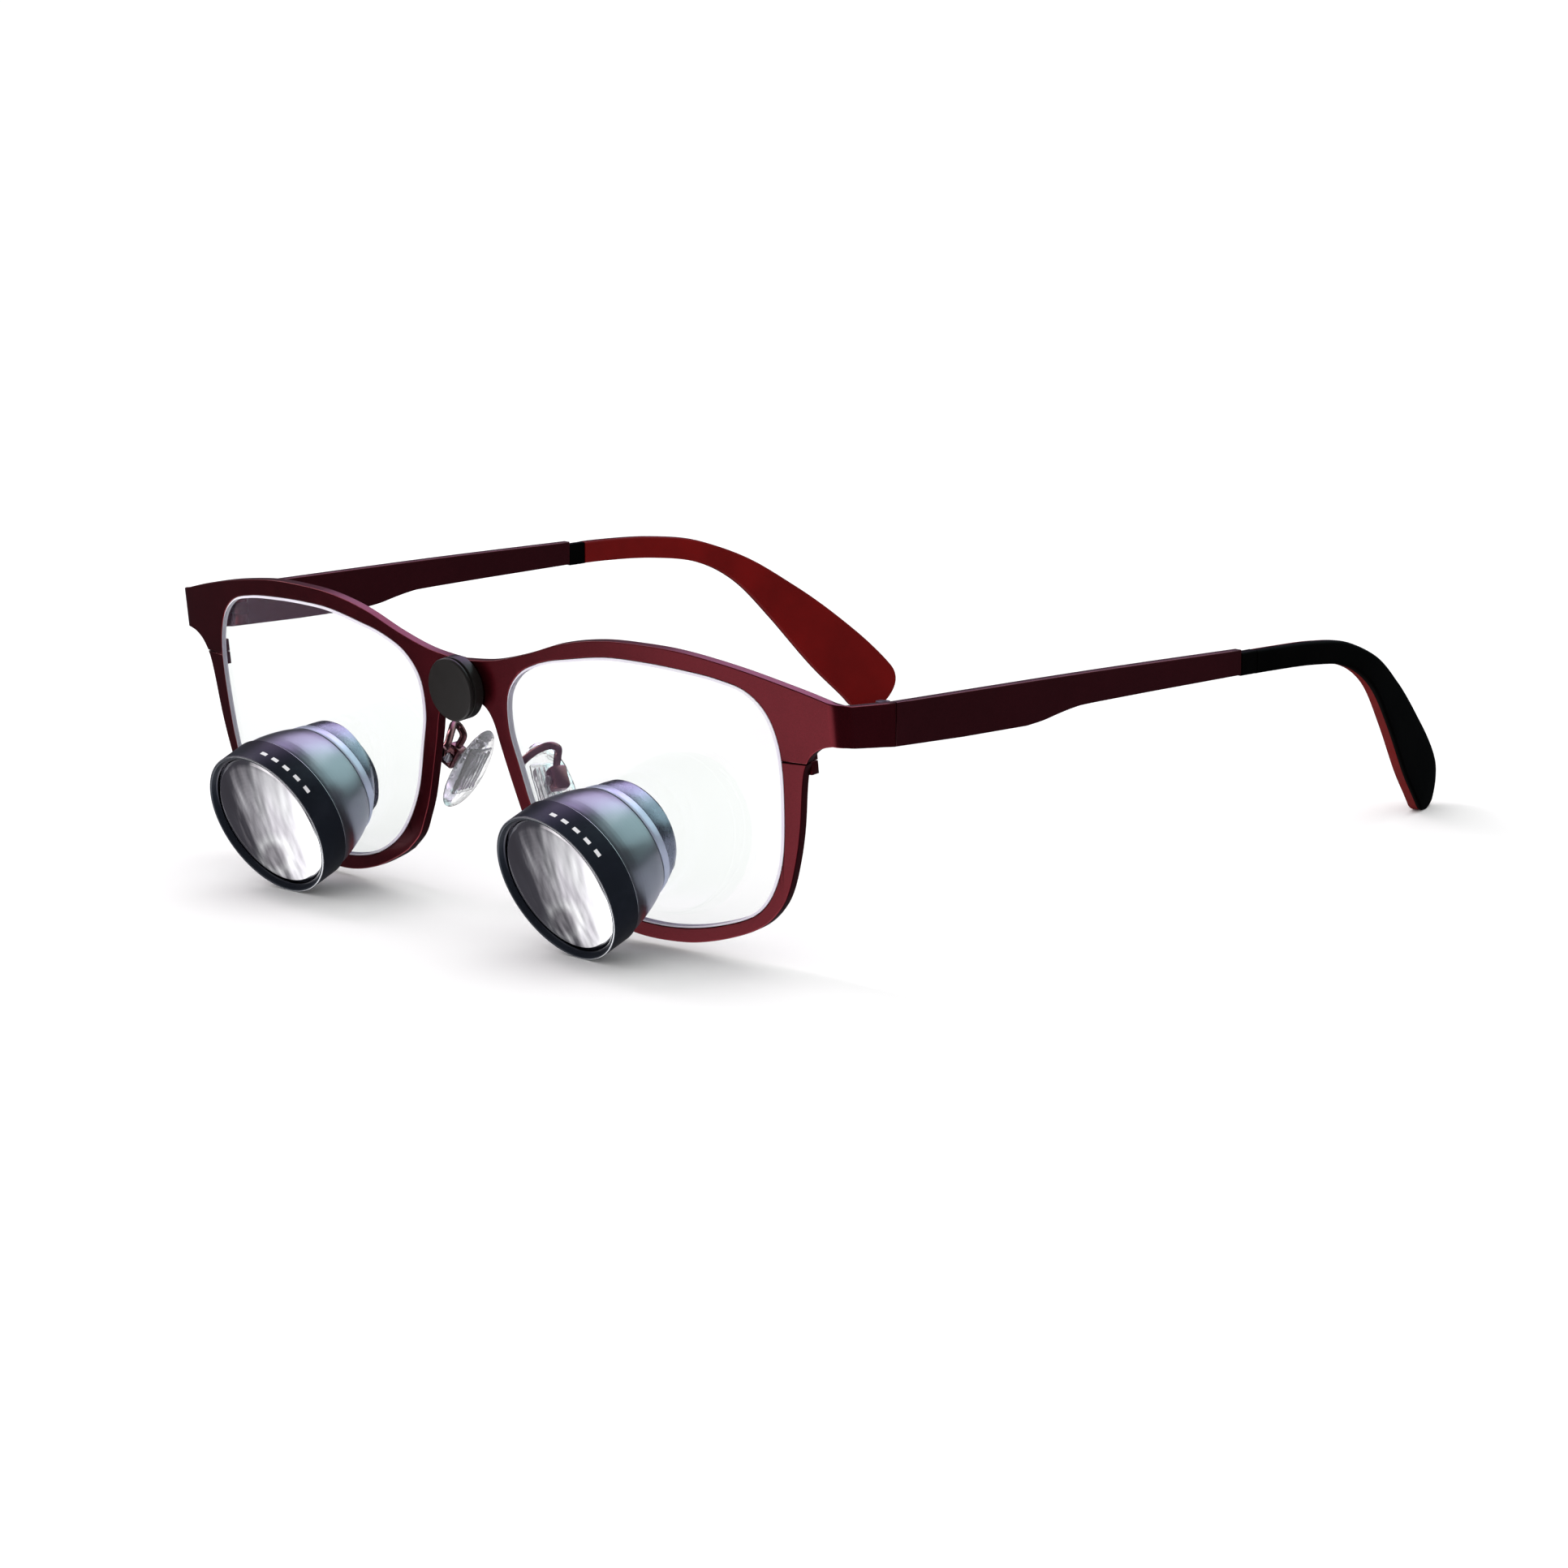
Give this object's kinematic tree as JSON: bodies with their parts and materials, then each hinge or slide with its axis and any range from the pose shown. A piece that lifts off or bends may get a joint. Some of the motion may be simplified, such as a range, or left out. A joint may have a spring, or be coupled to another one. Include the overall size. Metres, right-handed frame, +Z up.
{
  "type": "dental loupes",
  "caption": "Metal spectacle frame with short magnifying telescopes set through its clear lenses, folding temples, rocking nose pads and a light mount on the bridge.",
  "frame": {"origin": "centre of the underside of the bounding box, on the table the loupes lie on", "axes": "+X to the wearer's left, -Y where the telescopes look, +Y back along the temples, +Z up"},
  "size_m": [0.15, 0.1648, 0.0452],
  "materials": {
    "frame_paint": "satin burgundy metallic coating on sheet metal",
    "temple_paint": "satin dark burgundy coating on sheet metal",
    "carrier_lens": "clear polished lens with a bevelled edge",
    "optic_glass": "polished, with a violet anti-reflection coating",
    "steel": "fine turned and brushed",
    "magnet": "nickel plated",
    "pad_wire": "polished copper burgundy plating",
    "pad_silicone": "clear soft silicone",
    "pad_insert": "clear moulded",
    "objective_ring": "satin black anodised",
    "barrel_body": "satin grey violet anodised",
    "lock_ring": "satin pale blue anodised",
    "eyepiece_housing": "satin slate anodised",
    "inner_black": "flat black",
    "mount_cap": "matte charcoal",
    "tip_outer": "matte black soft touch",
    "tip_inner": "satin dark red"
  },
  "bodies": {
    "front": {"front_frame": "frame_paint", "light_mount_base": "steel", "light_mount_screw": "steel", "carrier_lens_left": "carrier_lens", "carrier_lens_right": "carrier_lens", "rim_lock_upper_left": "frame_paint", "rim_lock_upper_right": "frame_paint", "rim_lock_lower_left": "frame_paint", "rim_lock_lower_right": "frame_paint", "rim_lock_screw_left": "steel", "rim_lock_screw_right": "steel", "objective_ring_left": "objective_ring", "objective_ring_right": "objective_ring", "objective_lens_left": "optic_glass", "objective_lens_right": "optic_glass", "lens_retainer_left": "inner_black", "lens_retainer_right": "inner_black", "barrel_body_left": "barrel_body", "barrel_body_right": "barrel_body", "baffle_left": "inner_black", "baffle_right": "inner_black", "lock_ring_left": "lock_ring", "lock_ring_right": "lock_ring", "eyepiece_housing_left": "eyepiece_housing", "eyepiece_housing_right": "eyepiece_housing", "eyepiece_lens_left": "optic_glass", "eyepiece_lens_right": "optic_glass", "pad_arm_left": "pad_wire", "pad_arm_right": "pad_wire", "pad_screw_left": "steel", "pad_screw_right": "steel", "endpiece_hinge_left": "frame_paint", "endpiece_hinge_right": "frame_paint", "hinge_screw_left": "steel", "hinge_screw_right": "steel"},
    "light_cap": {"light_mount_cap": "mount_cap", "cap_magnet": "magnet"},
    "temple_left": {"temple_hinge_left": "temple_paint", "temple_arm_left": "temple_paint", "tip_outer_left": "tip_outer", "tip_inner_left": "tip_inner"},
    "pad_left": {"nose_pad_left": "pad_silicone", "pad_insert_left": "pad_insert"},
    "temple_right": {"temple_hinge_right": "temple_paint", "temple_arm_right": "temple_paint", "tip_outer_right": "tip_outer", "tip_inner_right": "tip_inner"},
    "pad_right": {"nose_pad_right": "pad_silicone", "pad_insert_right": "pad_insert"}
  },
  "joints": [
    {"name": "temple_fold_left", "type": "hinge", "parent": "front", "child": "temple_left", "pos_m": [0.07068, -0.04976, 0.03575], "axis": [0, 0.0322, 0.9995], "range_deg": [0, 88]},
    {"name": "temple_fold_right", "type": "hinge", "parent": "front", "child": "temple_right", "pos_m": [-0.07068, -0.04976, 0.03575], "axis": [0, -0.0322, -0.9995], "range_deg": [0, 80]},
    {"name": "pad_rock_left", "type": "hinge", "parent": "front", "child": "pad_left", "pos_m": [0.01213, -0.05814, 0.02098], "axis": [0.2307, 0.9725, -0.0313], "range_deg": [-10, 10]},
    {"name": "pad_rock_right", "type": "hinge", "parent": "front", "child": "pad_right", "pos_m": [-0.01213, -0.05814, 0.02098], "axis": [0.2307, -0.9725, 0.0313], "range_deg": [-10, 10]},
    {"name": "cap_pull", "type": "slide", "parent": "front", "child": "light_cap", "axis": [0, -0.9962, -0.0869], "range_m": [0, 0.012]}
  ]
}
